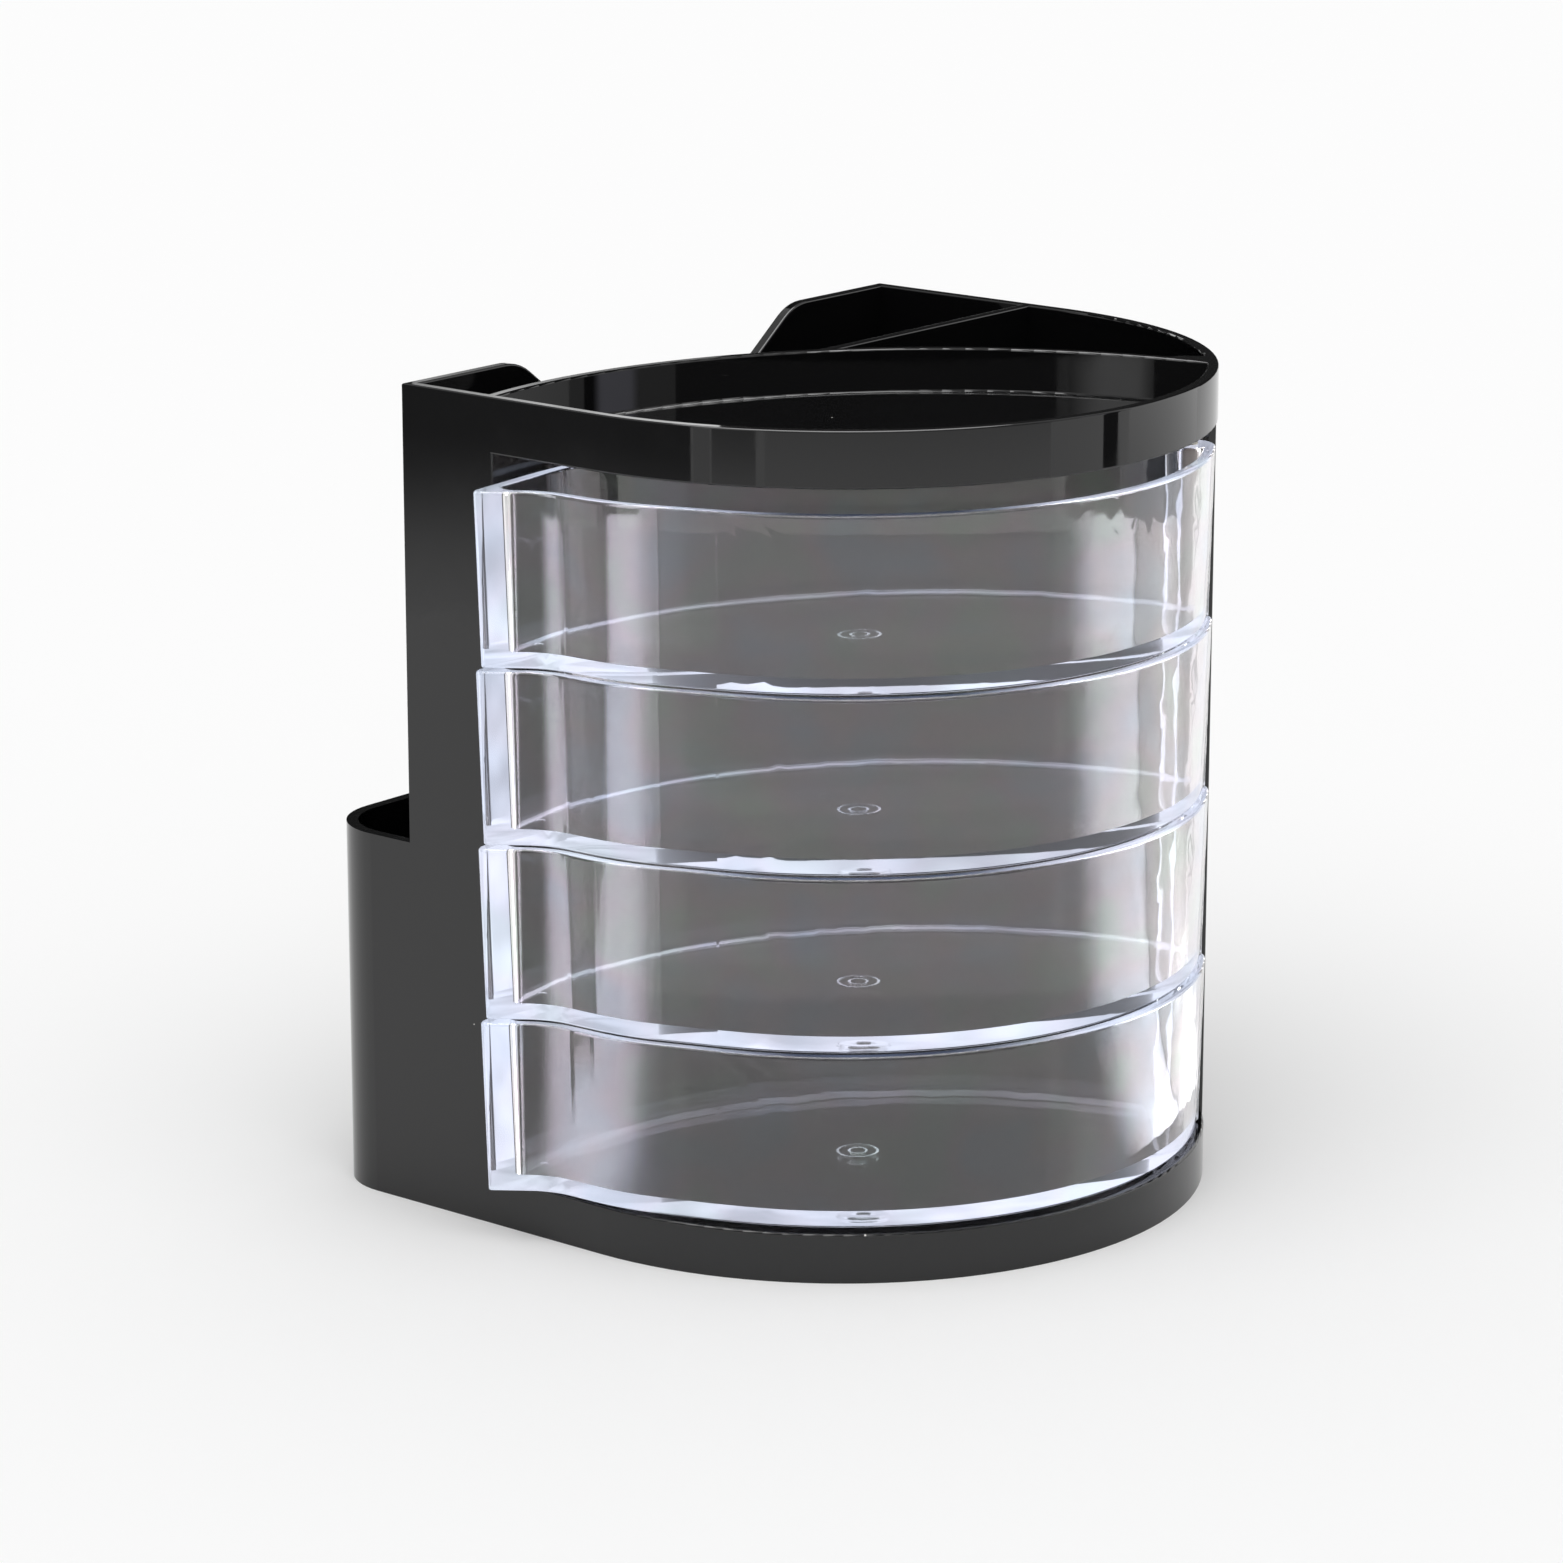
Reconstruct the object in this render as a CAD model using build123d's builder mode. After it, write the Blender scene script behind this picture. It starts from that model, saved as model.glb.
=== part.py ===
from build123d import *
from math import atan2, cos, degrees, hypot, radians, sin, tan
import os

# Desk organizer: a D-shaped column with a shallow tray and two pen wells on top, a low pocket behind
# and four clear drawers that swing out of a leaf-shaped bay about one upright rod.
# Millimetres. X runs to the right, Y to the back, Z up. The origin is on the flat underside, at the
# centre of the round front.

# Column
FRONT_RADIUS = 75.0        # round front, as wide as the column
BACK_Y = 49.7              # outer face of the tall back wall
HEIGHT = 168.2
WALL = 2.4
TOLERANCE = 0.01           # for telling where an edge lies
RIM_ROUND = 0.4            # rounding of the top rim and of the mouth of the bay
TRAY_ROUND = 0.5           # hollow rounding between the tray's floor and its walls

# Bay below, tray above: both lie in front of one long curved wall
BAY_CENTRE = (-55.65, -70.64)
BAY_RADIUS = 98.8          # front face of the curved wall
CURVED_WALL = 2.3
BAY_FLOOR_Z = 10.05
BAY_TOP_Z = 157.05
DECK = 2.3                 # plates above and below the bay

# Straight divider between the two pen wells
DIVIDER_Y = 8.9
DIVIDER = 2.0

# Finger notch in the back wall
NOTCH_TOP_HALF = 43.3
NOTCH_BOTTOM_HALF = 19.0
NOTCH_BOTTOM_Z = 150.0
NOTCH_ROUND = 12.0

# Rear pocket
POCKET_BACK_Y = 76.0
POCKET_TOP_Z = 75.4
POCKET_ROUND = 15.5

# Base plate let into the underside
BASE_PLATE = 2.0
BASE_LEDGE = 1.1           # width of the ledge that the plate sits against
BASE_FIT = 0.1

# Upright pivot at the right-hand tip of the bay
PIVOT_FROM_AXIS = 69.6
PIVOT_ANGLE = 304.8        # direction of the pivot as seen from the origin
ROD_RADIUS = 1.5
ROD_TOP_Z = 158.2
ROD_FIT = 0.05             # radial clearance of the drawers on the rod
KNOB_RADIUS = 5.0          # round end of a drawer, about the rod
KNOB_SWEEP_RADIUS = 6.0    # hollow that the knobs turn in
JAMB_HEADING = -49.3       # flat end of the round wall beside the knobs
JAMB_REACH = 25.0
SEAT_RADIUS = 3.4          # ring on the bay floor that carries the lowest drawer
SEAT_HEIGHT = 0.55
BOSS_RADIUS = 4.5
CAP_RADIUS = 1.9
CAP_HEIGHT = 0.8

# Drawers, counted from the top
DRAWER_COUNT = 4
DRAWER_PITCH = 35.4
DRAWER_HEIGHT = 34.9
LOWEST_DRAWER_Z = 10.9
DRAWER_WALL = 2.4
DRAWER_FLOOR = 3.0
DRAWER_DRAFT = 1.8
KNOB_DRAFT = 1.2
DRAWER_ROUND = 0.4         # rounding under the drawer
DRAWER_RIM_ROUND = 0.7
HUB_RADIUS = 3.0           # ring under the knob that runs on the drawer below
HUB_HEIGHT = 0.2

# Plan of a drawer, from its round front to the finger tab at its left-hand end
FRONT_END = 200.0          # direction where the round front stops, as seen from the origin
FLARE_LENGTH = 12.0
CHEEK_RADIUS = 50.0
CHEEK_TURN = 17.5
SIDE_LENGTH = 6.0
GRIP_RADIUS = 14.5
GRIP_TURN = 34.0
TAB_ROOT = 96.3            # direction where the straight back of the tab starts, from the bay centre
TAB_LIMIT = 30.0
TAB_ROUND = 1.8
INNER_ROUND = 3.2

# Round recess that the moulding gate leaves under each drawer
GATE_AT = (-22.8, -23.0)
GATE_RADIUS = 4.0
GATE_NUB_RADIUS = 1.85
GATE_DEPTH = 0.7
GATE_ROUND = 0.3

# Round mark that an ejector pin leaves in each drawer's floor, beside the finger tab
PIN_MARK_AT = (-70.5, 18.3)
PIN_MARK_RADIUS = 1.2
PIN_MARK_DEPTH = 0.15


def polar(radius, angle):
    """Point at a radius and at an angle in degrees about the origin."""
    return (radius * cos(radians(angle)), radius * sin(radians(angle)))


PIVOT = polar(PIVOT_FROM_AXIS, PIVOT_ANGLE)
TRAY_FLOOR_Z = BAY_TOP_Z + DECK
DRAWER_FRONT_RADIUS = PIVOT_FROM_AXIS + KNOB_RADIUS
DRAWER_BACK_RADIUS = hypot(PIVOT[0] - BAY_CENTRE[0], PIVOT[1] - BAY_CENTRE[1])
BACK_START = degrees(atan2(PIVOT[1] - BAY_CENTRE[1], PIVOT[0] - BAY_CENTRE[0]))


def column_plan(inset):
    """D-shaped plan of the column, drawn a distance inside its outer face."""
    radius = FRONT_RADIUS - inset
    back = BACK_Y - inset
    with BuildLine() as outline:
        ThreePointArc((radius, 0), (0, -radius), (-radius, 0))
        Polyline((-radius, 0), (-radius, back), (radius, back), (radius, 0))
    make_face(outline.edges())


def bay_plan(side_inset, radius):
    """Part of the column's plan that lies in front of the curved wall."""
    column_plan(side_inset)
    with Locations(BAY_CENTRE):
        Circle(radius, mode=Mode.INTERSECT)


def knob_corner(radius, mode):
    """Plan of the room round the knobs, with the flat end of the round wall along one side."""
    with Locations(PIVOT):
        Circle(radius, mode=mode)
    with Locations(Location((*PIVOT, 0), (0, 0, JAMB_HEADING))):
        Rectangle(JAMB_REACH, 2 * radius, align=(Align.MIN, Align.CENTER), mode=mode)


def pocket_plan(inset, front):
    """Plan of the rear pocket, from a front line to its rounded rear corners."""
    depth = POCKET_BACK_Y - inset - front
    with Locations((0, front + depth / 2)):
        Rectangle(2 * (FRONT_RADIUS - inset), depth)
    fillet(vertices().group_by(Axis.Y)[-1], POCKET_ROUND - inset)


def drawer_plan(inset, tip_round):
    """Leaf-shaped plan of a drawer with its finger tab, drawn a distance inside its outer face."""
    with BuildLine() as outline:
        front = CenterArc((0, 0), DRAWER_FRONT_RADIUS, PIVOT_ANGLE, FRONT_END - PIVOT_ANGLE)
        flare = Line(front @ 1, front @ 1 + (front % 1) * FLARE_LENGTH)
        cheek = JernArc(flare @ 1, flare % 1, CHEEK_RADIUS, -CHEEK_TURN)
        side = Line(cheek @ 1, cheek @ 1 + (cheek % 1) * SIDE_LENGTH)
        grip = JernArc(side @ 1, side % 1, GRIP_RADIUS, GRIP_TURN)
        back = CenterArc(BAY_CENTRE, DRAWER_BACK_RADIUS, BACK_START, TAB_ROOT - BACK_START)
        tab_back = Line(back @ 1, back @ 1 + (back % 1) * TAB_LIMIT, mode=Mode.PRIVATE)
        tab_front = IntersectingLine(grip @ 1, grip % 1, tab_back)
        Line(tab_front @ 1, back @ 1)
        Line(back @ 0, front @ 0)
    make_face(outline.edges())
    if inset:
        offset(amount=-inset)
    fillet(vertices().sort_by(Axis.X)[0], tip_round)


def in_bay_mouth(edge):
    """True if an edge bounds the mouth of the bay in the outer face of the column."""
    middle = edge @ 0.5
    on_front = abs(hypot(middle.X, middle.Y) - FRONT_RADIUS) < TOLERANCE
    on_left = abs(middle.X + FRONT_RADIUS) < TOLERANCE and middle.Y < BACK_Y - TOLERANCE
    at_height = BAY_FLOOR_Z - TOLERANCE < middle.Z < BAY_TOP_Z + TOLERANCE
    return (on_front or on_left) and at_height and abs(middle.Y) > TOLERANCE


def around_gate(edge):
    """True if an edge is one of the circles of the gate recess."""
    if edge.geom_type != GeomType.CIRCLE:
        return False
    centre = edge.arc_center
    return hypot(centre.X - GATE_AT[0], centre.Y - GATE_AT[1]) < TOLERANCE


def save(piece, name):
    """Label a finished piece and write it to its own file."""
    piece.label = name
    export_step(piece, f"parts/{name}.step")


os.makedirs("parts", exist_ok=True)

# ---- housing: one moulding
with BuildPart() as housing:
    with BuildSketch():
        column_plan(0)
    extrude(amount=HEIGHT)
    with BuildSketch():
        pocket_plan(0, BACK_Y - WALL / 2)
    extrude(amount=POCKET_TOP_Z)

    # tray
    with BuildSketch(Plane.XY.offset(TRAY_FLOOR_Z)):
        bay_plan(WALL, BAY_RADIUS)
    extrude(amount=HEIGHT - TRAY_FLOOR_Z, mode=Mode.SUBTRACT)
    fillet(housing.faces().filter_by(Axis.Z).group_by(Axis.Z)[-2].edges(), TRAY_ROUND)

    # bay, open all round the front and through the left-hand wall
    with BuildSketch(Plane.XY.offset(BAY_FLOOR_Z)):
        with Locations(BAY_CENTRE):
            Circle(BAY_RADIUS)
        knob_corner(KNOB_SWEEP_RADIUS, Mode.ADD)
    extrude(amount=BAY_TOP_Z - BAY_FLOOR_Z, mode=Mode.SUBTRACT)

    # pen wells behind the curved wall, with the straight divider left standing
    with BuildSketch(Plane.XY.offset(WALL)):
        column_plan(WALL)
        with Locations(BAY_CENTRE):
            Circle(BAY_RADIUS + CURVED_WALL, mode=Mode.SUBTRACT)
        with Locations((FRONT_RADIUS / 2, DIVIDER_Y)):
            Rectangle(FRONT_RADIUS, DIVIDER, mode=Mode.SUBTRACT)
        knob_corner(KNOB_SWEEP_RADIUS + WALL, Mode.SUBTRACT)
    extrude(amount=HEIGHT - WALL, mode=Mode.SUBTRACT)

    # rear pocket
    with BuildSketch(Plane.XY.offset(WALL)):
        pocket_plan(WALL, BACK_Y)
    extrude(amount=POCKET_TOP_Z - WALL, mode=Mode.SUBTRACT)

    # finger notch in the back wall
    with BuildSketch(Plane.XZ.offset(-BACK_Y)):
        with BuildLine():
            Polyline(
                (-NOTCH_TOP_HALF - NOTCH_ROUND, HEIGHT + NOTCH_ROUND),
                (-NOTCH_TOP_HALF - NOTCH_ROUND, HEIGHT),
                (-NOTCH_TOP_HALF, HEIGHT),
                (-NOTCH_BOTTOM_HALF, NOTCH_BOTTOM_Z),
                (NOTCH_BOTTOM_HALF, NOTCH_BOTTOM_Z),
                (NOTCH_TOP_HALF, HEIGHT),
                (NOTCH_TOP_HALF + NOTCH_ROUND, HEIGHT),
                (NOTCH_TOP_HALF + NOTCH_ROUND, HEIGHT + NOTCH_ROUND),
                close=True,
            )
        make_face()
        fillet(vertices().filter_by(lambda v: abs(v.X) <= NOTCH_TOP_HALF), NOTCH_ROUND)
    extrude(amount=WALL, mode=Mode.SUBTRACT)

    # hollow underside with a ledge for the base plate, and the bosses that hold the rod
    with BuildSketch():
        bay_plan(WALL - BASE_LEDGE, BAY_RADIUS + BASE_LEDGE)
    extrude(amount=BASE_PLATE, mode=Mode.SUBTRACT)
    with BuildSketch(Plane.XY.offset(BASE_PLATE)):
        bay_plan(WALL, BAY_RADIUS)
        with Locations(PIVOT):
            Circle(BOSS_RADIUS, mode=Mode.SUBTRACT)
    extrude(amount=BAY_FLOOR_Z - DECK - BASE_PLATE, mode=Mode.SUBTRACT)
    with BuildSketch(Plane.XY.offset(BAY_FLOOR_Z)):
        with Locations(PIVOT):
            Circle(SEAT_RADIUS)
    extrude(amount=SEAT_HEIGHT)
    with BuildSketch(Plane.XY.offset(BASE_PLATE)):
        with Locations(PIVOT):
            Circle(ROD_RADIUS)
    extrude(amount=TRAY_FLOOR_Z - BASE_PLATE, mode=Mode.SUBTRACT)

    fillet(housing.faces().filter_by(Axis.Z).group_by(Axis.Z)[-1].edges(), RIM_ROUND)
    fillet(housing.edges().filter_by(in_bay_mouth), RIM_ROUND)
save(housing.part, "housing")

with BuildPart() as base_plate:
    with BuildSketch():
        bay_plan(WALL - BASE_LEDGE + BASE_FIT, BAY_RADIUS + BASE_LEDGE - BASE_FIT)
    extrude(amount=BASE_PLATE)
save(base_plate.part, "base_plate")

# ---- pivot: a rod through the whole bay, closed by a cap in the tip of the tray
with BuildPart() as pivot_rod:
    with BuildSketch(Plane.XY.offset(BASE_PLATE)):
        with Locations(PIVOT):
            Circle(ROD_RADIUS)
    extrude(amount=ROD_TOP_Z - BASE_PLATE)
save(pivot_rod.part, "pivot_rod")

with BuildPart() as rod_cap:
    with BuildSketch(Plane.XY.offset(ROD_TOP_Z)):
        with Locations(PIVOT):
            Circle(ROD_RADIUS)
    extrude(amount=TRAY_FLOOR_Z - ROD_TOP_Z)
    with BuildSketch(Plane.XY.offset(TRAY_FLOOR_Z)):
        with Locations(PIVOT):
            Circle(CAP_RADIUS)
    extrude(amount=CAP_HEIGHT)
    fillet(rod_cap.edges().group_by(Axis.Z)[-1], RIM_ROUND)
save(rod_cap.part, "rod_cap")

# ---- drawers, counted from the top
for number in range(1, DRAWER_COUNT + 1):
    bottom_z = LOWEST_DRAWER_Z + (DRAWER_COUNT - number) * DRAWER_PITCH
    top_plane = Plane.XY.offset(bottom_z + DRAWER_HEIGHT)
    with BuildPart() as drawer:
        with BuildSketch(top_plane):
            drawer_plan(0, TAB_ROUND)
        extrude(amount=-DRAWER_HEIGHT, taper=DRAWER_DRAFT)
        with BuildSketch(top_plane):
            drawer_plan(DRAWER_WALL, INNER_ROUND)
        extrude(amount=DRAWER_FLOOR - DRAWER_HEIGHT, taper=DRAWER_DRAFT, mode=Mode.SUBTRACT)
        level_faces = drawer.faces().filter_by(Axis.Z).group_by(Axis.Z)
        fillet(level_faces[0].edges(), DRAWER_ROUND)
        fillet(drawer.faces().sort_by(Axis.Z)[-1].edges(), DRAWER_RIM_ROUND)

        # knob, a solid cone round the rod
        with BuildSketch(Plane((*PIVOT, bottom_z), x_dir=(1, 0, 0), z_dir=(0, -1, 0))):
            with BuildLine():
                Polyline(
                    (0, 0),
                    (KNOB_RADIUS - DRAWER_HEIGHT * tan(radians(KNOB_DRAFT)), 0),
                    (KNOB_RADIUS, DRAWER_HEIGHT),
                    (0, DRAWER_HEIGHT),
                    close=True,
                )
            make_face()
            fillet(vertices().group_by(Axis.X)[-1], DRAWER_RIM_ROUND)
        revolve(axis=Axis((*PIVOT, 0), (0, 0, 1)))

        # pin mark in the floor, gate recess in the underside, hub ring and bore
        with BuildSketch(Plane.XY.offset(bottom_z + DRAWER_FLOOR)):
            with Locations(PIN_MARK_AT):
                Circle(PIN_MARK_RADIUS)
        extrude(amount=-PIN_MARK_DEPTH, mode=Mode.SUBTRACT)
        with BuildSketch(Plane.XY.offset(bottom_z)):
            with Locations(GATE_AT):
                Circle(GATE_RADIUS)
                Circle(GATE_NUB_RADIUS, mode=Mode.SUBTRACT)
        extrude(amount=GATE_DEPTH, mode=Mode.SUBTRACT)
        fillet(drawer.edges().filter_by(around_gate), GATE_ROUND)
        with BuildSketch(Plane.XY.offset(bottom_z)):
            with Locations(PIVOT):
                Circle(HUB_RADIUS)
        extrude(amount=-HUB_HEIGHT)
        with BuildSketch(top_plane):
            with Locations(PIVOT):
                Circle(ROD_RADIUS + ROD_FIT)
        extrude(amount=-DRAWER_HEIGHT - HUB_HEIGHT, mode=Mode.SUBTRACT)
    save(drawer.part, f"drawer_{number}")
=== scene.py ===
"""Looks of a desk organizer: a glossy black moulded body and four clear drawers that swing out about one rod.

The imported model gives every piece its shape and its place. This script gives the pieces their finishes, and
sets the object on a pale floor in a plain studio.
"""

import logging
import math
from dataclasses import dataclass, field
from enum import Enum

import bpy
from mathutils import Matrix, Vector

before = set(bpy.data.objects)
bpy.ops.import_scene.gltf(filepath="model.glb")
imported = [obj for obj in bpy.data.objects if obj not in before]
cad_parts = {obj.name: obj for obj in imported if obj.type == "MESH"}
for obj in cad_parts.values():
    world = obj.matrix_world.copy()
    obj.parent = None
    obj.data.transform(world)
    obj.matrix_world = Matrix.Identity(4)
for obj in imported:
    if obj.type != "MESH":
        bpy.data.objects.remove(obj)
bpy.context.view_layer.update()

MM = 0.001
WHITE = "#ffffff"
DEGREES_PER_STEP = 2  # fineness of a studio card's curve
LEAST_STEPS = 12
MOST_PASSED = 99  # more clear surfaces than any ray passes
SIDE_LEVEL = "side_level"  # mesh attribute that fades a studio card at its sides
FLOOR_CARD = 1 * MM  # how high a card lies that shows on the floor, in the gloss alone
log = logging.getLogger("desk_organizer")

Socket = bpy.types.NodeSocket
Tree = bpy.types.NodeTree


def linear(hex_colour: str) -> tuple[float, float, float, float]:
    """Turn an sRGB colour into Blender's linear values.

    Args:
        hex_colour: The colour as "#rrggbb".

    Returns:
        Linear red, green and blue, and an alpha of 1.
    """
    channels = [int(hex_colour[i:i + 2], 16) / 255 for i in (1, 3, 5)]
    red, green, blue = (c / 12.92 if c <= 0.04045 else ((c + 0.055) / 1.055) ** 2.4 for c in channels)
    return red, green, blue, 1.0


def socket_of(sockets: bpy.types.bpy_prop_collection, key: str | int) -> Socket:
    """Find a node's socket.

    Args:
        sockets: The node's inputs or outputs.
        key: The socket's number, or its name among those in use.

    Returns:
        The socket.
    """
    if isinstance(key, int):
        return sockets[key]
    return next(socket for socket in sockets if socket.name == key and socket.enabled)


def add_node(
    tree: Tree,
    kind: str,
    settings: dict[str | int, object] | None = None,
    links: dict[str | int, Socket] | None = None,
) -> bpy.types.Node:
    """Add a node, give it its settings and link its inputs.

    Args:
        tree: The node tree that gets the node.
        kind: The node's type, such as "ShaderNodeTexNoise".
        settings: Values by name, each for the node's own property of that name or else for its input.
        links: The output that feeds each named or numbered input.

    Returns:
        The new node.
    """
    node = tree.nodes.new(kind)
    for name, value in (settings or {}).items():
        if isinstance(name, str) and name in node.bl_rna.properties:
            setattr(node, name, value)
        else:
            socket_of(node.inputs, name).default_value = value
    for name, source in (links or {}).items():
        tree.links.new(source, socket_of(node.inputs, name))
    return node


def add_ramp(tree: Tree, source: Socket, stops: tuple[tuple[float, str], ...]) -> Socket:
    """Add a colour ramp.

    Args:
        tree: The node tree that gets the ramp.
        source: The value that runs along the ramp.
        stops: The place and the colour of each stop, in order.

    Returns:
        The ramp's colour.
    """
    node = add_node(tree, "ShaderNodeValToRGB", {}, {"Fac": source})
    elements = node.color_ramp.elements
    for number, (place, colour) in enumerate(stops):
        stop = elements[number] if number < len(elements) else elements.new(1.0)
        stop.position = place
        stop.color = linear(colour)
    return node.outputs["Color"]


def new_material(name: str) -> tuple[bpy.types.Material, Tree]:
    """Make an empty node material.

    Args:
        name: The material's name.

    Returns:
        The material and its node tree.
    """
    material = bpy.data.materials.new(name)
    material.use_nodes = True
    material.node_tree.nodes.clear()
    return material, material.node_tree


@dataclass(frozen=True)
class BlackPolystyrene:
    """High-impact polystyrene, coloured black and moulded in a polished tool.

    The polished tool gives a mirror gloss. The skin cools unevenly, so what it mirrors bends a little.

    Attributes:
        name: The material's name.
        colour: Colour of the pigmented plastic.
        dust_colour: Colour of a speck of dust.
        ior: Refractive index, a little under that of clear polystyrene.
        gloss_roughness: Roughness of the polished skin.
        scuffed_roughness: Roughness where hands have dulled the skin.
        waviness_mm: Length of the skin's waves, about a sixth of the body's width.
        waviness_height_mm: Height of those waves.
        waviness_roughness: How much the finer waves add.
        scuff_mm: Size of a dulled patch, about that of a fingertip.
        scuff_detail: How many times finer patterns are laid over the patches.
        scuff_roughness: How much the finer patterns add.
        scuff_span: Levels of the pattern where the dulling starts and is full.
        dust_spacing_mm: How far apart the specks lie.
        dust_radius_mm: Radius of a speck, drawn as coarse as it needs to show.
    """

    name: str = "black_polystyrene_moulded"
    colour: str = "#0c0c0d"
    dust_colour: str = "#d5d3cf"
    ior: float = 1.55
    gloss_roughness: float = 0.035
    scuffed_roughness: float = 0.10
    waviness_mm: float = 26.0
    waviness_height_mm: float = 0.03
    waviness_roughness: float = 0.4
    scuff_mm: float = 9.0
    scuff_detail: float = 4.0
    scuff_roughness: float = 0.6
    scuff_span: tuple[float, float] = (0.45, 0.75)
    dust_spacing_mm: float = 15.0
    dust_radius_mm: float = 0.22

    def build(self) -> bpy.types.Material:
        """Build the material.

        Returns:
            The finished material.
        """
        material, tree = new_material(self.name)
        place = add_node(tree, "ShaderNodeTexCoord").outputs["Object"]
        # Slow, shallow waves of the moulded skin.
        waves = add_node(tree, "ShaderNodeTexNoise",
                         {"Scale": 1 / (self.waviness_mm * MM), "Detail": 1.0,
                          "Roughness": self.waviness_roughness},
                         {"Vector": place})
        skin = add_node(tree, "ShaderNodeBump",
                        {"Strength": 1.0, "Distance": self.waviness_height_mm * MM},
                        {"Height": waves.outputs["Fac"]})
        # Patches that hands have dulled a little.
        scuffs = add_node(tree, "ShaderNodeTexNoise",
                          {"Scale": 1 / (self.scuff_mm * MM), "Detail": self.scuff_detail,
                           "Roughness": self.scuff_roughness},
                          {"Vector": place})
        dulled = add_node(tree, "ShaderNodeMapRange",
                          {"From Min": self.scuff_span[0], "From Max": self.scuff_span[1],
                           "To Min": self.gloss_roughness, "To Max": self.scuffed_roughness},
                          {"Value": scuffs.outputs["Fac"]})
        # A few specks of dust, each in a cell of its own.
        specks = add_node(tree, "ShaderNodeTexVoronoi",
                          {"Scale": 1 / (self.dust_spacing_mm * MM)}, {"Vector": place})
        dusty = add_node(tree, "ShaderNodeMath",
                         {"operation": "LESS_THAN", 1: self.dust_radius_mm / self.dust_spacing_mm},
                         {0: specks.outputs["Distance"]})
        paint = add_node(tree, "ShaderNodeMix",
                         {"data_type": "RGBA", "A": linear(self.colour), "B": linear(self.dust_colour)},
                         {"Factor": dusty.outputs["Value"]})
        shader = add_node(tree, "ShaderNodeBsdfPrincipled", {"IOR": self.ior},
                          {"Base Color": socket_of(paint.outputs, "Result"),
                           "Roughness": dulled.outputs["Result"], "Normal": skin.outputs["Normal"]})
        add_node(tree, "ShaderNodeOutputMaterial", {}, {"Surface": shader.outputs["BSDF"]})
        return material


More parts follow.
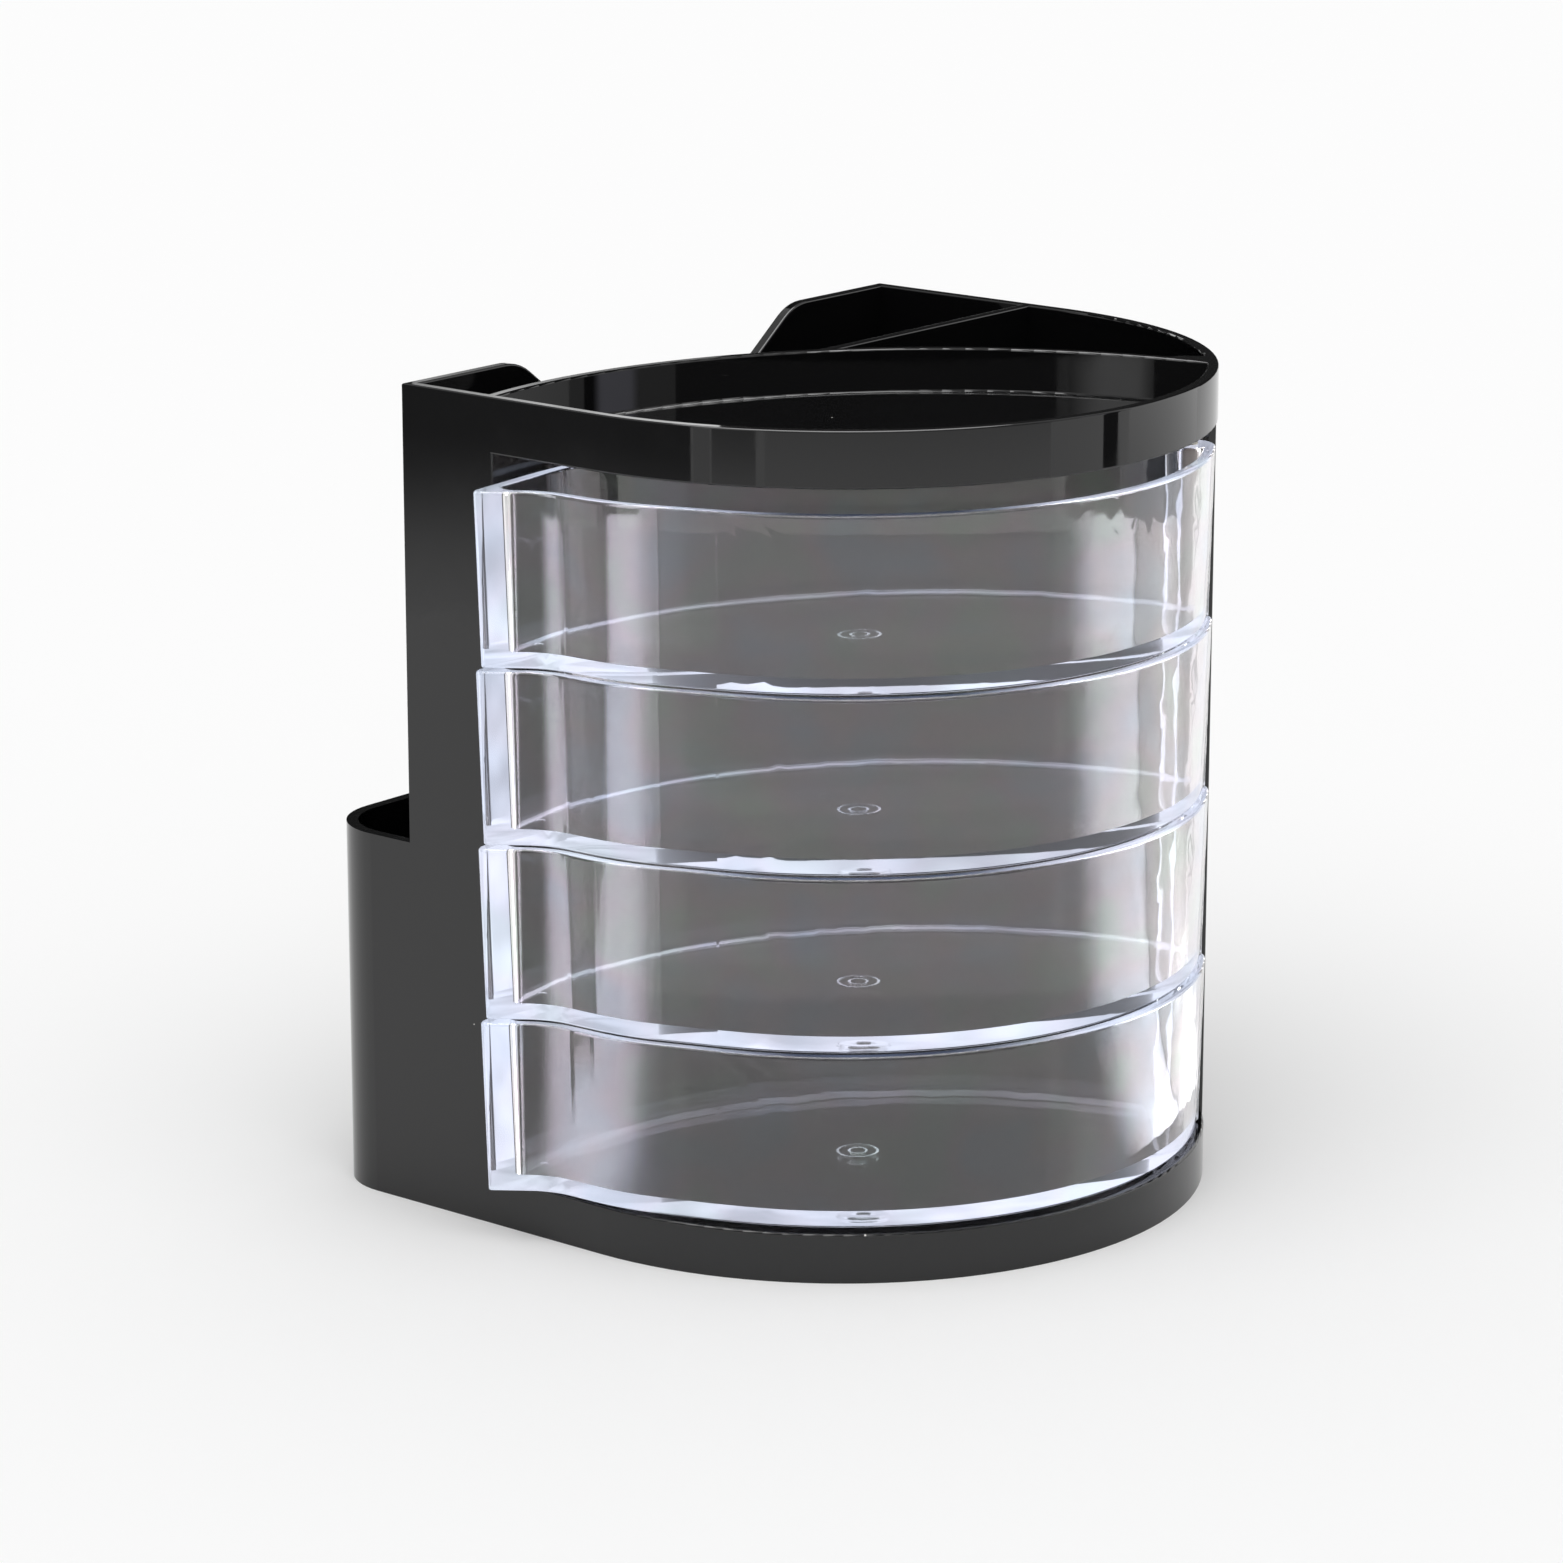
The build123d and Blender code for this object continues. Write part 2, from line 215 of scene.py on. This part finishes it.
@dataclass(frozen=True)
class ClearPolystyrene:
    """General-purpose polystyrene, uncoloured and moulded in a polished tool.

    It is as clear as glass and bends light more than glass does, so its edges gather light. That light is
    painted on as a glow.

    Attributes:
        name: The material's name.
        ior: Refractive index of polystyrene.
        roughness: Roughness of the polished skin.
        flow_mm: Length of the waves that the flowing plastic leaves, about the height of a drawer.
        flow_height_mm: Height of those waves.
        flow_roughness: How much the finer waves add.
        stress_colours: Tints along the stress pattern. They are faint.
        stress_mm: Size of a stress field, about half the height of a drawer.
        painted_glow_colours: Colours of the painted glow that stands for caught light, from the rest of the
            drawer to the darker painted shade at the middle of its front.
        front_heading: The way to the middle of the round front, in degrees from +X towards +Y.
        front_from_mm: How far that way the second colour starts to show.
        front_to_mm: How far that way it is full.
        painted_glow_strength: Least and most strength of the painted glow that stands for caught light
            leaking out, where 1 is white.
        edge_mm: How far apart brighter places lie along an edge.
        edge_detail: How many times finer patterns are laid over them.
        edge_span: Levels of the pattern that give the least and the most light.
        caught_after: Mirror bounces after which the light counts as caught.
    """

    name: str = "clear_polystyrene_moulded"
    ior: float = 1.59
    roughness: float = 0.015
    flow_mm: float = 34.0
    flow_height_mm: float = 0.006
    flow_roughness: float = 0.4
    stress_colours: tuple[tuple[float, str], ...] = (
        (0.35, "#f3f7fd"), (0.5, "#fbf3f6"), (0.65, "#f4faf4"))
    stress_mm: float = 17.0
    painted_glow_colours: tuple[tuple[float, str], ...] = ((0.0, "#d9e0f2"), (1.0, "#4f5a72"))
    front_heading: float = -135.0
    front_from_mm: float = 58.0
    front_to_mm: float = 70.0
    painted_glow_strength: tuple[float, float] = (0.75, 1.35)
    edge_mm: float = 21.0
    edge_detail: float = 2.0
    edge_span: tuple[float, float] = (0.35, 0.65)
    caught_after: float = 3.5

    def build(self) -> bpy.types.Material:
        """Build the material.

        Returns:
            The finished material.
        """
        material, tree = new_material(self.name)
        place = add_node(tree, "ShaderNodeTexCoord").outputs["Object"]
        flow = add_node(tree, "ShaderNodeTexNoise",
                        {"Scale": 1 / (self.flow_mm * MM), "Detail": 1.0,
                         "Roughness": self.flow_roughness},
                        {"Vector": place})
        skin = add_node(tree, "ShaderNodeBump",
                        {"Strength": 1.0, "Distance": self.flow_height_mm * MM},
                        {"Height": flow.outputs["Fac"]})
        # Stress left by the cooling shows as faint tints.
        stress = add_node(tree, "ShaderNodeTexNoise",
                          {"Scale": 1 / (self.stress_mm * MM), "Detail": 1.0}, {"Vector": place})
        tint = add_ramp(tree, stress.outputs["Fac"], self.stress_colours)
        shader = add_node(tree, "ShaderNodeBsdfPrincipled",
                          {"Roughness": self.roughness, "IOR": self.ior, "Transmission Weight": 1.0},
                          {"Base Color": tint, "Normal": skin.outputs["Normal"]})
        # Painted light: light caught between the two faces of a wall runs along it until it leaks out at an
        # edge. A render stops following it before that, so a painted glow stands for the light that would
        # come out.
        bounces = add_node(tree, "ShaderNodeLightPath").outputs["Glossy Depth"]
        caught = add_node(tree, "ShaderNodeMath", {"operation": "GREATER_THAN", 1: self.caught_after},
                          {0: bounces})
        # The painted glow is brighter in some places than others.
        leaks = add_node(tree, "ShaderNodeTexNoise",
                         {"Scale": 1 / (self.edge_mm * MM), "Detail": self.edge_detail},
                         {"Vector": place})
        level = add_node(tree, "ShaderNodeMapRange",
                         {"From Min": self.edge_span[0], "From Max": self.edge_span[1],
                          "To Min": self.painted_glow_strength[0], "To Max": self.painted_glow_strength[1]},
                         {"Value": leaks.outputs["Fac"]})
        # Painted shade: the painted glow turns darker towards the middle of the round front.
        heading = math.radians(self.front_heading)
        ahead = add_node(tree, "ShaderNodeVectorMath",
                         {"operation": "DOT_PRODUCT", 1: (math.cos(heading), math.sin(heading), 0.0)},
                         {0: place})
        share = add_node(tree, "ShaderNodeMapRange",
                         {"From Min": self.front_from_mm * MM, "From Max": self.front_to_mm * MM},
                         {"Value": ahead.outputs["Value"]})
        # Painted glow: the clear drawers give off light, though they are no lamp.
        glow = add_node(tree, "ShaderNodeEmission", {},
                        {"Color": add_ramp(tree, share.outputs["Result"], self.painted_glow_colours),
                         "Strength": level.outputs["Result"]})
        whole = add_node(tree, "ShaderNodeMixShader", {},
                         {0: caught.outputs["Value"], 1: shader.outputs["BSDF"],
                          2: glow.outputs["Emission"]})
        add_node(tree, "ShaderNodeOutputMaterial", {}, {"Surface": whole.outputs["Shader"]})
        return material


@dataclass(frozen=True)
class NaturalNylon:
    """Extruded nylon rod in its natural colour, drawn to size, with a soft waxy sheen.

    Attributes:
        name: The material's name.
        colour: Colour of the uncoloured plastic.
        shade_colour: Colour of its darker marks.
        ior: Refractive index of nylon.
        roughness: Roughness of the drawn skin.
        draw_mark_mm: Width of a mark from drawing, a fifth of the rod's 3 mm.
        draw_squash: How much longer than wide the marks are, as the share of the scale along the rod.
        draw_detail: How many times finer patterns are laid over the marks.
        draw_depth_mm: Depth of a mark.
        draw_strength: Strength of the marks' relief.
    """

    name: str = "natural_nylon_extruded"
    colour: str = "#dcd9cd"
    shade_colour: str = "#cbc7b8"
    ior: float = 1.53
    roughness: float = 0.38
    draw_mark_mm: float = 0.6
    draw_squash: float = 0.02
    draw_detail: float = 3.0
    draw_depth_mm: float = 0.02
    draw_strength: float = 0.3

    def build(self) -> bpy.types.Material:
        """Build the material.

        Returns:
            The finished material.
        """
        material, tree = new_material(self.name)
        place = add_node(tree, "ShaderNodeTexCoord").outputs["Object"]
        drawn = add_node(tree, "ShaderNodeMapping", {"Scale": (1.0, 1.0, self.draw_squash)},
                         {"Vector": place})
        marks = add_node(tree, "ShaderNodeTexNoise",
                         {"Scale": 1 / (self.draw_mark_mm * MM), "Detail": self.draw_detail},
                         {"Vector": drawn.outputs["Vector"]})
        paint = add_node(tree, "ShaderNodeMix",
                         {"data_type": "RGBA", "A": linear(self.colour), "B": linear(self.shade_colour)},
                         {"Factor": marks.outputs["Fac"]})
        skin = add_node(tree, "ShaderNodeBump",
                        {"Strength": self.draw_strength, "Distance": self.draw_depth_mm * MM},
                        {"Height": marks.outputs["Fac"]})
        shader = add_node(tree, "ShaderNodeBsdfPrincipled", {"IOR": self.ior, "Roughness": self.roughness},
                          {"Base Color": socket_of(paint.outputs, "Result"),
                           "Normal": skin.outputs["Normal"]})
        add_node(tree, "ShaderNodeOutputMaterial", {}, {"Surface": shader.outputs["BSDF"]})
        return material


class RayKind(Enum):
    """The kinds of ray that a studio card is hidden from, by the name of the object's own switch."""

    CAMERA = "visible_camera"
    DIFFUSE = "visible_diffuse"
    SHADOW = "visible_shadow"
    VOLUME = "visible_volume_scatter"


class Stance(Enum):
    """How a studio card is placed."""

    UPRIGHT = "upright"
    LYING = "lying"


@dataclass(frozen=True)
class StudioCard:
    """A card beside the object that is seen only in its gloss.

    Attributes:
        name: The card's name.
        heading: The way from the object to the card's middle, in degrees from +X towards +Y.
        spread: How many degrees the card takes up, seen from the object.
        place: How far off an upright card stands, or how high a lying one lies, in metres.
        near: Height of an upright card's lower edge, or how far off a lying card starts, in metres.
        far: Height of an upright card's upper edge, or how far off a lying card ends, in metres.
        light: Light that it gives off, where 1 is white.
        foot: Light that an upright card gives off at its lower edge, if it fades there.
        fade: Height over which the light changes from "foot" to "light", in metres.
        stance: How it is placed.
        sides: Shares of the spread over which the light fades in at the two sides.
        passed: Least and most clear surfaces that light from it passes on its way to the camera.
        colour: Colour of its light.
    """

    name: str
    heading: float
    spread: float
    place: float
    near: float
    far: float
    light: float
    foot: float | None = None
    fade: float = 0.1
    stance: Stance = Stance.UPRIGHT
    sides: tuple[float, float] = (0.0, 0.0)
    passed: tuple[int, int] = (0, MOST_PASSED)
    colour: str = WHITE

    def finish(self) -> bpy.types.Material:
        """Build the card's glowing material.

        Returns:
            The material.
        """
        material, tree = new_material(self.name + "_glow")
        place = add_node(tree, "ShaderNodeTexCoord").outputs["Object"]
        height = add_node(tree, "ShaderNodeSeparateXYZ", {}, {"Vector": place})
        level = add_node(tree, "ShaderNodeMapRange",
                         {"interpolation_type": "SMOOTHSTEP", "From Min": self.near,
                          "From Max": self.near + self.fade, "To Max": self.light,
                          "To Min": self.light if self.foot is None else self.foot},
                         {"Value": height.outputs["Z"]})
        side = add_node(tree, "ShaderNodeAttribute", {"attribute_name": SIDE_LEVEL})
        # The counts are whole, so half of one more or less tells them apart.
        passed = add_node(tree, "ShaderNodeLightPath").outputs["Transmission Depth"]
        enough = add_node(tree, "ShaderNodeMath", {"operation": "GREATER_THAN", 1: self.passed[0] - 0.5},
                          {0: passed})
        few = add_node(tree, "ShaderNodeMath", {"operation": "LESS_THAN", 1: self.passed[1] + 0.5},
                       {0: passed})
        seen = side.outputs["Fac"]
        for share in (enough, few):
            seen = add_node(tree, "ShaderNodeMath", {"operation": "MULTIPLY"},
                            {0: seen, 1: share.outputs["Value"]}).outputs["Value"]
        clear = add_node(tree, "ShaderNodeBsdfTransparent")
        glow = add_node(tree, "ShaderNodeEmission", {"Color": linear(self.colour)},
                        {"Strength": level.outputs["Result"]})
        whole = add_node(tree, "ShaderNodeMixShader", {},
                         {0: seen, 1: clear.outputs["BSDF"], 2: glow.outputs["Emission"]})
        add_node(tree, "ShaderNodeOutputMaterial", {}, {"Surface": whole.outputs["Shader"]})
        return material

    def side_level(self, across: float) -> float:
        """Give how far the light has faded in at a place across the card.

        Args:
            across: The place, from 0 at one side to 1 at the other.

        Returns:
            The level, from 0 to 1.
        """
        first, last = self.sides
        level = min(1.0, across / first if first else 1.0, (1 - across) / last if last else 1.0)
        return level * level * (3 - 2 * level)

    def build(self) -> bpy.types.Object:
        """Build the card.

        Returns:
            The card's object.
        """
        steps = max(LEAST_STEPS, round(self.spread / DEGREES_PER_STEP))
        corners, levels = [], []
        for step in range(steps + 1):
            angle = math.radians(self.heading + self.spread * (step / steps - 0.5))
            for edge in (self.near, self.far):
                off, height = (self.place, edge) if self.stance is Stance.UPRIGHT else (edge, self.place)
                corners.append((off * math.cos(angle), off * math.sin(angle), height))
                levels.append(self.side_level(step / steps))
        faces = [(2 * s, 2 * s + 2, 2 * s + 3, 2 * s + 1) for s in range(steps)]
        mesh = bpy.data.meshes.new(self.name)
        mesh.from_pydata(corners, [], faces)
        mesh.attributes.new(SIDE_LEVEL, "FLOAT", "POINT").data.foreach_set("value", levels)
        mesh.materials.append(self.finish())
        card = bpy.data.objects.new(self.name, mesh)
        bpy.context.collection.objects.link(card)
        for kind in RayKind:
            setattr(card, kind.value, False)
        return card


CARDS = (
    StudioCard("left_dark_card", 151, 49, 0.62, 0.0, 0.5, light=0.12, foot=0.88, fade=0.056),
    StudioCard("front_grey_card", -121, 84, 0.75, 0.0, 0.6, light=0.6, foot=0.95, fade=0.06),
    StudioCard("front_dark_card", -121, 84, 0.735, 0.2, 0.6, light=0.15),
    StudioCard("right_bright_card", -29, 40, 0.75, 0.0, 0.6, light=1.35, foot=1.0, fade=0.06),
    StudioCard("right_dark_strip", -56.7, 6, 0.74, 0.0, 0.6, light=0.04),
    StudioCard("back_dark_card", 36, 90, 0.85, 0.2, 0.9, light=0.03),
    StudioCard("back_window", 45.3, 7.4, 0.84, 0.32, 0.37, light=1.6, foot=0.36, fade=0.03),
    StudioCard("left_narrow_card", 178.5, 5, 0.7, 0.0, 0.26, light=0.75, foot=0.95, fade=0.05),
    StudioCard("left_grey_card", -172, 13, 0.72, 0.0, 0.5, light=0.30, foot=0.95, fade=0.05),
    StudioCard("right_high_window", -63, 13, 0.72, 0.26, 0.36, light=2.2, sides=(0.2, 0.2),
               colour="#e6e6f4"),
    StudioCard("left_high_window", -174, 22, 0.69, 0.26, 0.36, light=2.4, sides=(0.2, 0.5)),
    StudioCard("top_softbox", 100, 359, 1.0, 0.0, 0.42, light=6.0, stance=Stance.LYING),
    # Painted reflections: glowing strips lying on the floor beside the object, seen only after passing one to
    # three clear surfaces, which show in the drawers' fronts as windows would.
    StudioCard("left_low_painted_reflection", 169, 28, FLOOR_CARD, 0.1, 0.62, light=8.5, stance=Stance.LYING,
               sides=(0.12, 0.55), passed=(1, 3), colour="#eeecf8"),
    StudioCard("front_low_painted_reflection", -57, 32, FLOOR_CARD, 0.1, 0.62, light=7.8, stance=Stance.LYING,
               sides=(0.5, 0.08), passed=(1, 3), colour="#eef0f6"),
    StudioCard("right_low_painted_reflection", -27, 32, FLOOR_CARD, 0.1, 0.62, light=3.4, stance=Stance.LYING,
               sides=(0.08, 0.4), passed=(1, 3)),
)


@dataclass
class Studio:
    """The pale floor, the even room light and the cards that shape the gloss.

    Attributes:
        floor_half: Half the floor's width, in metres.
        floor_colour: Colour of the floor.
        room_light: Light from all around.
        sun_share: Share of the light on the floor that the soft lamp gives.
        sun_angle: Spread of the soft lamp, in degrees.
        sun_tilt: How far the lamp leans from straight above, in degrees.
        sun_heading: The way it leans, in degrees from +X towards +Y.
        cards: The cards.
    """

    floor_half: float = 9.0
    floor_colour: str = "#fafafa"
    room_light: float = 0.65
    sun_share: float = 0.37
    sun_angle: float = 70.0
    sun_tilt: float = 25.0
    sun_heading: float = -145.0
    cards: list[StudioCard] = field(default_factory=list)

    def build_floor(self) -> bpy.types.Object:
        """Build the floor.

        Returns:
            The floor's object.
        """
        half = self.floor_half
        mesh = bpy.data.meshes.new("studio_floor")
        mesh.from_pydata([(-half, -half, 0), (half, -half, 0), (half, half, 0), (-half, half, 0)],
                         [], [(0, 1, 2, 3)])
        material, tree = new_material("matt_white_board")
        shader = add_node(tree, "ShaderNodeBsdfDiffuse", {"Color": linear(self.floor_colour)})
        add_node(tree, "ShaderNodeOutputMaterial", {}, {"Surface": shader.outputs["BSDF"]})
        mesh.materials.append(material)
        floor = bpy.data.objects.new("studio_floor", mesh)
        bpy.context.collection.objects.link(floor)
        return floor

    def build_light(self) -> None:
        """Build the even room light and the broad soft sun."""
        world = bpy.data.worlds.new("studio_room")
        world.use_nodes = True
        world.node_tree.nodes.clear()
        room = add_node(world.node_tree, "ShaderNodeBackground",
                        {"Color": linear(WHITE), "Strength": self.room_light})
        add_node(world.node_tree, "ShaderNodeOutputWorld", {}, {"Surface": room.outputs["Background"]})
        bpy.context.scene.world = world
        lamp = bpy.data.lights.new("soft_top_light", "SUN")
        lamp.angle = math.radians(self.sun_angle)
        lamp.energy = self.sun_share * math.pi / math.cos(math.radians(self.sun_tilt))
        holder = bpy.data.objects.new("soft_top_light", lamp)
        tilt, heading = math.radians(self.sun_tilt), math.radians(self.sun_heading)
        towards = Vector((math.sin(tilt) * math.cos(heading), math.sin(tilt) * math.sin(heading),
                          math.cos(tilt)))
        holder.rotation_euler = towards.to_track_quat("Z", "Y").to_euler()
        bpy.context.collection.objects.link(holder)

    def build(self) -> None:
        """Build the whole studio."""
        self.build_floor()
        self.build_light()
        for card in self.cards:
            card.build()
        scene = bpy.context.scene
        scene.view_settings.view_transform = "Standard"
        log.info("studio: floor, room light and %d cards", len(self.cards))


@dataclass
class StudioCamera:
    """The camera, where the photograph was taken from, as fitted to the body's corners and arcs.

    Attributes:
        place: The camera's place, in metres.
        heading: The way it looks on plan.
        pitch: How far it looks down, in degrees.
        lens: Focal length, in millimetres.
        sensor: Width of the picture on the sensor, in millimetres.
        clip: Nearest and farthest distance shown, in metres.
    """

    place: tuple[float, float, float] = (-0.84815, -0.67853, 0.36797)
    heading: tuple[float, float] = (0.7739, 0.6333)
    pitch: float = 14.803
    lens: float = 127.23
    sensor: float = 36.0
    clip: tuple[float, float] = (0.05, 40.0)

    def build(self) -> bpy.types.Object:
        """Build the camera and make it the scene's.

        Returns:
            The camera's object.
        """
        data = bpy.data.cameras.new("studio_camera")
        data.lens = self.lens
        data.sensor_width = self.sensor
        data.clip_start, data.clip_end = self.clip
        camera = bpy.data.objects.new("studio_camera", data)
        down = math.radians(self.pitch)
        along = Vector((*self.heading, 0.0)).normalized() * math.cos(down)
        look = Vector((along.x, along.y, -math.sin(down)))
        camera.location = self.place
        camera.rotation_euler = look.to_track_quat("-Z", "Y").to_euler()
        bpy.context.collection.objects.link(camera)
        bpy.context.scene.camera = camera
        log.info("camera: %.0f mm lens", self.lens)
        return camera


@dataclass
class Housing:
    """The one-piece black body with its base plate and the cap on the rod.

    Attributes:
        nodes: The model's nodes that share the black plastic.
        plastic: Their finish.
    """

    nodes: tuple[str, ...] = ("housing", "base_plate", "rod_cap")
    plastic: BlackPolystyrene = BlackPolystyrene()

    def build(self) -> None:
        """Dress the body's nodes."""
        material = self.plastic.build()
        for name in self.nodes:
            dress(name, material)


@dataclass
class Drawers:
    """The stack of clear drawers.

    Attributes:
        count: How many drawers there are.
        plastic: Their finish.
    """

    count: int = 4
    plastic: ClearPolystyrene = ClearPolystyrene()

    def build(self) -> None:
        """Dress every drawer."""
        material = self.plastic.build()
        for number in range(1, self.count + 1):
            dress(f"drawer_{number}", material)


@dataclass
class Pivot:
    """The rod that the drawers turn about.

    Attributes:
        plastic: Its finish.
    """

    plastic: NaturalNylon = NaturalNylon()

    def build(self) -> None:
        """Dress the rod."""
        dress("pivot_rod", self.plastic.build())


def dress(node: str, material: bpy.types.Material) -> None:
    """Give a node of the frame its finish.

    Args:
        node: The node's name.
        material: The finish for all its faces.
    """
    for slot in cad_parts[node].material_slots:
        slot.material = material
    log.info("%s: %s", node, material.name)


def main() -> None:
    """Build the object's looks and the studio in order."""
    logging.basicConfig(level=logging.INFO, format="%(name)s: %(message)s")
    StudioCamera().build()
    Housing().build()
    Drawers().build()
    Pivot().build()
    Studio(cards=list(CARDS)).build()


if __name__ == "__main__":
    main()
